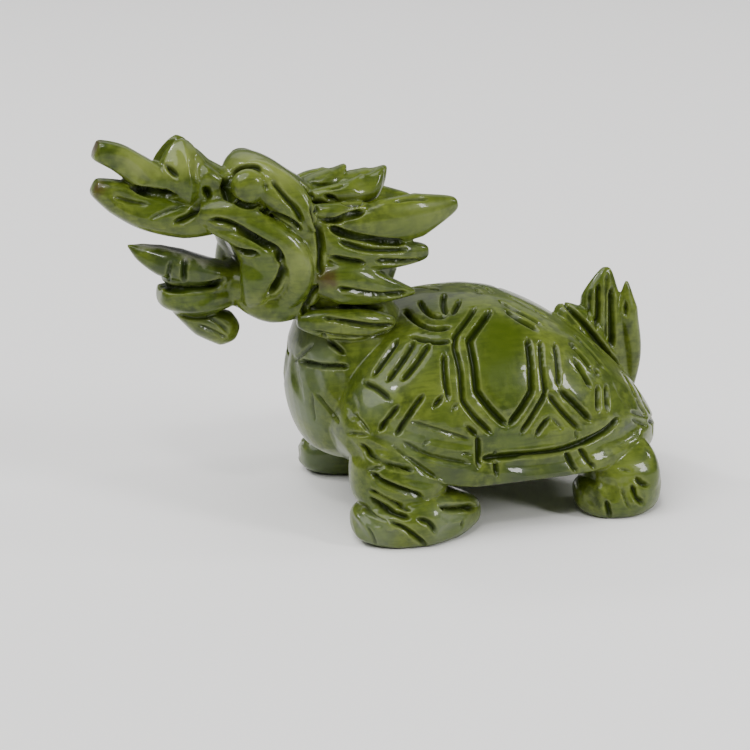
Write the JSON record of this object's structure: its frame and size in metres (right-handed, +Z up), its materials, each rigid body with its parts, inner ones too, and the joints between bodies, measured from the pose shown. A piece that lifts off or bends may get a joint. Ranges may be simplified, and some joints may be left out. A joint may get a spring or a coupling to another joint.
{
  "type": "dragon turtle figure",
  "caption": "Carved stone turtle with a dragon's head, a flowing mane, a plated shell and an upright tail of flames.",
  "frame": {"origin": "on the ground, under the middle of the figure's bounding box", "axes": "+Z up, +Y from the head to the tail, so that the figure looks along -Y, +X to its left"},
  "size_m": [0.056, 0.1094, 0.0741],
  "materials": {
    "green_stone": "polished"
  },
  "bodies": {
    "root": {"dragon_turtle": "green_stone"}
  },
  "joints": []
}
